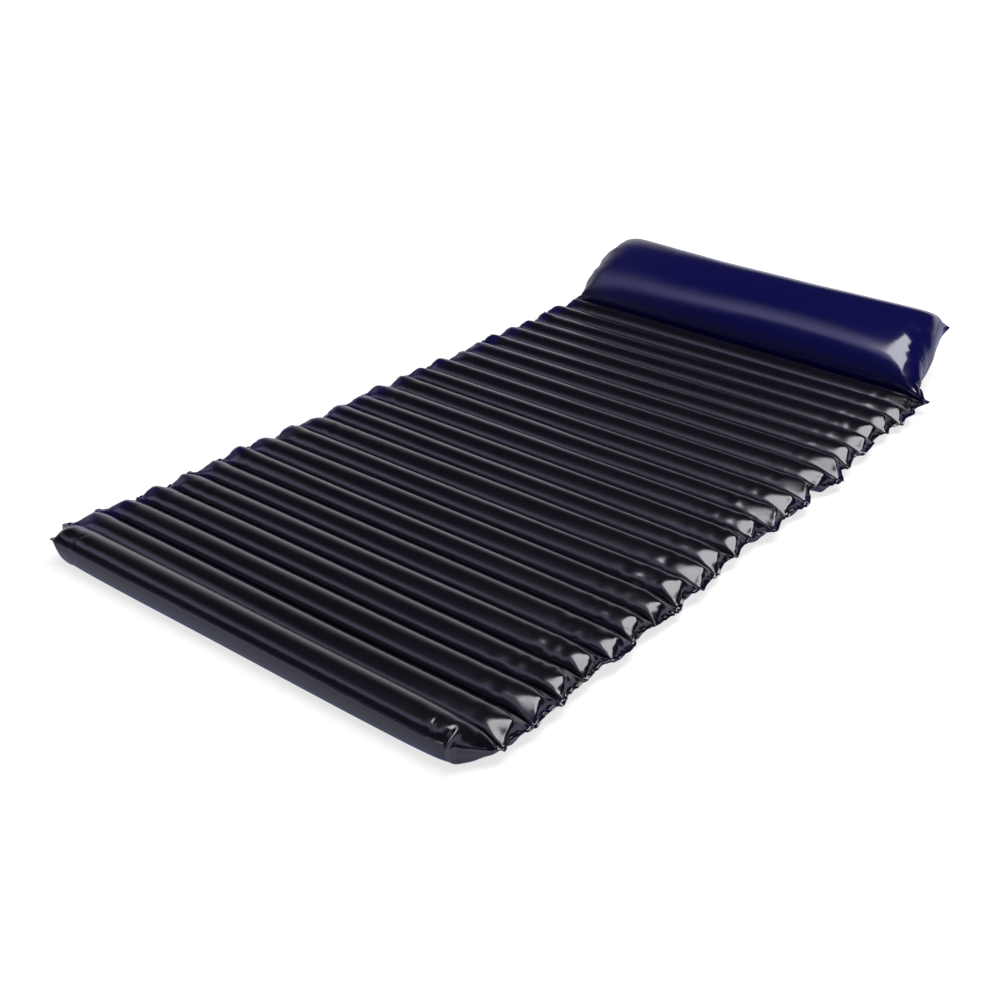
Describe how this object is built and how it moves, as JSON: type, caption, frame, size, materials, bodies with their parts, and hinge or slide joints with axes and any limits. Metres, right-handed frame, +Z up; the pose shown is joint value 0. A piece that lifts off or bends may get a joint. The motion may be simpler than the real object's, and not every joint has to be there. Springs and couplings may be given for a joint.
{
  "type": "inflatable water hammock",
  "caption": "Inflatable pool lounger of glossy navy film: slim cross tubes welded side by side into a bendable mat, a raised pillow across its head and push-in air valves.",
  "frame": {"origin": "centre of the outline seen from above, on the floor that the laid-out mat rests on", "axes": "+X across the mat, +Y from the foot to the pillow, +Z up"},
  "size_m": [0.673, 1.3998, 0.1175],
  "materials": {
    "tube_film": "glossy dark navy film, blown up tight",
    "pillow_film": "glossy deep blue film, blown up tight",
    "valve_vinyl": "soft moulded vinyl",
    "flap_vinyl": "clear soft vinyl"
  },
  "bodies": {
    "tube_01": {"air_tube_01": "tube_film", "mat_valve_base": "valve_vinyl"},
    "tube_02": {"air_tube_02": "tube_film"},
    "tube_03": {"air_tube_03": "tube_film"},
    "tube_04": {"air_tube_04": "tube_film"},
    "tube_05": {"air_tube_05": "tube_film"},
    "tube_06": {"air_tube_06": "tube_film"},
    "tube_07": {"air_tube_07": "tube_film"},
    "tube_08": {"air_tube_08": "tube_film"},
    "tube_09": {"air_tube_09": "tube_film"},
    "tube_10": {"air_tube_10": "tube_film"},
    "tube_11": {"air_tube_11": "tube_film"},
    "tube_12": {"air_tube_12": "tube_film"},
    "tube_13": {"air_tube_13": "tube_film"},
    "tube_14": {"air_tube_14": "tube_film"},
    "tube_15": {"air_tube_15": "tube_film"},
    "tube_16": {"air_tube_16": "tube_film"},
    "tube_17": {"air_tube_17": "tube_film"},
    "tube_18": {"air_tube_18": "tube_film"},
    "tube_19": {"air_tube_19": "tube_film"},
    "tube_20": {"air_tube_20": "tube_film"},
    "tube_21": {"air_tube_21": "tube_film"},
    "tube_22": {"air_tube_22": "tube_film"},
    "tube_23": {"air_tube_23": "tube_film"},
    "tube_24": {"air_tube_24": "tube_film"},
    "pillow_section": {"pillow": "pillow_film", "pillow_valve_base": "valve_vinyl"},
    "mat_stem": {"mat_valve_stem": "valve_vinyl"},
    "mat_plug": {"mat_valve_plug": "valve_vinyl"},
    "mat_flap": {"mat_valve_flap": "flap_vinyl"},
    "pillow_stem": {"pillow_valve_stem": "valve_vinyl"},
    "pillow_plug": {"pillow_valve_plug": "valve_vinyl"},
    "pillow_flap": {"pillow_valve_flap": "flap_vinyl"}
  },
  "joints": [
    {"name": "weld_12_fold", "type": "hinge", "parent": "tube_12", "child": "tube_13", "pos_m": [0, -0.09385, 0.0173], "axis": [1, 0, 0], "range_deg": [-60, 60], "stiffness_Nm_per_rad": 0.05},
    {"name": "weld_13_fold", "type": "hinge", "parent": "tube_13", "child": "tube_14", "pos_m": [0, -0.04375, 0.0173], "axis": [-1, 0, 0], "range_deg": [-60, 60], "stiffness_Nm_per_rad": 0.05},
    {"name": "weld_14_fold", "type": "hinge", "parent": "tube_14", "child": "tube_15", "pos_m": [0, 0.00635, 0.0173], "axis": [1, 0, 0], "range_deg": [-60, 60], "stiffness_Nm_per_rad": 0.05},
    {"name": "weld_15_fold", "type": "hinge", "parent": "tube_15", "child": "tube_16", "pos_m": [0, 0.05645, 0.0173], "axis": [-1, 0, 0], "range_deg": [-60, 60], "stiffness_Nm_per_rad": 0.05},
    {"name": "weld_16_fold", "type": "hinge", "parent": "tube_16", "child": "tube_17", "pos_m": [0, 0.10655, 0.0173], "axis": [1, 0, 0], "range_deg": [-60, 60], "stiffness_Nm_per_rad": 0.05},
    {"name": "weld_17_fold", "type": "hinge", "parent": "tube_17", "child": "tube_18", "pos_m": [0, 0.15665, 0.0173], "axis": [-1, 0, 0], "range_deg": [-60, 60], "stiffness_Nm_per_rad": 0.05},
    {"name": "weld_18_fold", "type": "hinge", "parent": "tube_18", "child": "tube_19", "pos_m": [0, 0.20675, 0.0173], "axis": [1, 0, 0], "range_deg": [-60, 60], "stiffness_Nm_per_rad": 0.05},
    {"name": "weld_19_fold", "type": "hinge", "parent": "tube_19", "child": "tube_20", "pos_m": [0, 0.25685, 0.0173], "axis": [-1, 0, 0], "range_deg": [-60, 60], "stiffness_Nm_per_rad": 0.05},
    {"name": "weld_20_fold", "type": "hinge", "parent": "tube_20", "child": "tube_21", "pos_m": [0, 0.30695, 0.0173], "axis": [1, 0, 0], "range_deg": [-60, 60], "stiffness_Nm_per_rad": 0.05},
    {"name": "weld_21_fold", "type": "hinge", "parent": "tube_21", "child": "tube_22", "pos_m": [0, 0.35705, 0.0173], "axis": [-1, 0, 0], "range_deg": [-60, 60], "stiffness_Nm_per_rad": 0.05},
    {"name": "weld_22_fold", "type": "hinge", "parent": "tube_22", "child": "tube_23", "pos_m": [0, 0.40715, 0.0173], "axis": [1, 0, 0], "range_deg": [-60, 60], "stiffness_Nm_per_rad": 0.05},
    {"name": "weld_23_fold", "type": "hinge", "parent": "tube_23", "child": "tube_24", "pos_m": [0, 0.45725, 0.0173], "axis": [-1, 0, 0], "range_deg": [-60, 60], "stiffness_Nm_per_rad": 0.05},
    {"name": "pillow_fold", "type": "hinge", "parent": "tube_24", "child": "pillow_section", "pos_m": [0, 0.50735, 0.0173], "axis": [1, 0, 0], "range_deg": [-50, 50], "stiffness_Nm_per_rad": 0.05},
    {"name": "weld_11_fold", "type": "hinge", "parent": "tube_12", "child": "tube_11", "pos_m": [0, -0.14395, 0.0173], "axis": [1, 0, 0], "range_deg": [-60, 60], "stiffness_Nm_per_rad": 0.05},
    {"name": "weld_10_fold", "type": "hinge", "parent": "tube_11", "child": "tube_10", "pos_m": [0, -0.19405, 0.0173], "axis": [-1, 0, 0], "range_deg": [-60, 60], "stiffness_Nm_per_rad": 0.05},
    {"name": "weld_09_fold", "type": "hinge", "parent": "tube_10", "child": "tube_09", "pos_m": [0, -0.24415, 0.0173], "axis": [1, 0, 0], "range_deg": [-60, 60], "stiffness_Nm_per_rad": 0.05},
    {"name": "weld_08_fold", "type": "hinge", "parent": "tube_09", "child": "tube_08", "pos_m": [0, -0.29425, 0.0173], "axis": [-1, 0, 0], "range_deg": [-60, 60], "stiffness_Nm_per_rad": 0.05},
    {"name": "weld_07_fold", "type": "hinge", "parent": "tube_08", "child": "tube_07", "pos_m": [0, -0.34435, 0.0173], "axis": [1, 0, 0], "range_deg": [-60, 60], "stiffness_Nm_per_rad": 0.05},
    {"name": "weld_06_fold", "type": "hinge", "parent": "tube_07", "child": "tube_06", "pos_m": [0, -0.39445, 0.0173], "axis": [-1, 0, 0], "range_deg": [-60, 60], "stiffness_Nm_per_rad": 0.05},
    {"name": "weld_05_fold", "type": "hinge", "parent": "tube_06", "child": "tube_05", "pos_m": [0, -0.44455, 0.0173], "axis": [1, 0, 0], "range_deg": [-60, 60], "stiffness_Nm_per_rad": 0.05},
    {"name": "weld_04_fold", "type": "hinge", "parent": "tube_05", "child": "tube_04", "pos_m": [0, -0.49465, 0.0173], "axis": [-1, 0, 0], "range_deg": [-60, 60], "stiffness_Nm_per_rad": 0.05},
    {"name": "weld_03_fold", "type": "hinge", "parent": "tube_04", "child": "tube_03", "pos_m": [0, -0.54475, 0.0173], "axis": [1, 0, 0], "range_deg": [-60, 60], "stiffness_Nm_per_rad": 0.05},
    {"name": "weld_02_fold", "type": "hinge", "parent": "tube_03", "child": "tube_02", "pos_m": [0, -0.59485, 0.0173], "axis": [-1, 0, 0], "range_deg": [-60, 60], "stiffness_Nm_per_rad": 0.05},
    {"name": "weld_01_fold", "type": "hinge", "parent": "tube_02", "child": "tube_01", "pos_m": [0, -0.64495, 0.0173], "axis": [1, 0, 0], "range_deg": [-45, 45], "stiffness_Nm_per_rad": 0.05},
    {"name": "mat_stem_slide", "type": "slide", "parent": "tube_01", "child": "mat_stem", "axis": [-0.6655, -0.4664, -0.5828], "range_m": [0, 0.012]},
    {"name": "mat_plug_slide", "type": "slide", "parent": "mat_stem", "child": "mat_plug", "axis": [-0.6655, -0.4664, -0.5828], "range_m": [0, 0.012]},
    {"name": "mat_flap_hinge", "type": "hinge", "parent": "mat_stem", "child": "mat_flap", "pos_m": [-0.2982, -0.6645, 0.0141], "axis": [-0.6929, 0.0957, 0.7147], "range_deg": [0, 50], "stiffness_Nm_per_rad": 0.0005},
    {"name": "pillow_stem_slide", "type": "slide", "parent": "pillow_section", "child": "pillow_stem", "axis": [0, 0.787, -0.6169], "range_m": [0, 0.012]},
    {"name": "pillow_plug_slide", "type": "slide", "parent": "pillow_stem", "child": "pillow_plug", "axis": [0, 0.787, -0.6169], "range_m": [0, 0.012]},
    {"name": "pillow_flap_hinge", "type": "hinge", "parent": "pillow_stem", "child": "pillow_flap", "pos_m": [-0.2035, 0.65336, 0.05214], "axis": [0, -0.6169, -0.787], "range_deg": [0, 50], "stiffness_Nm_per_rad": 0.0005}
  ]
}
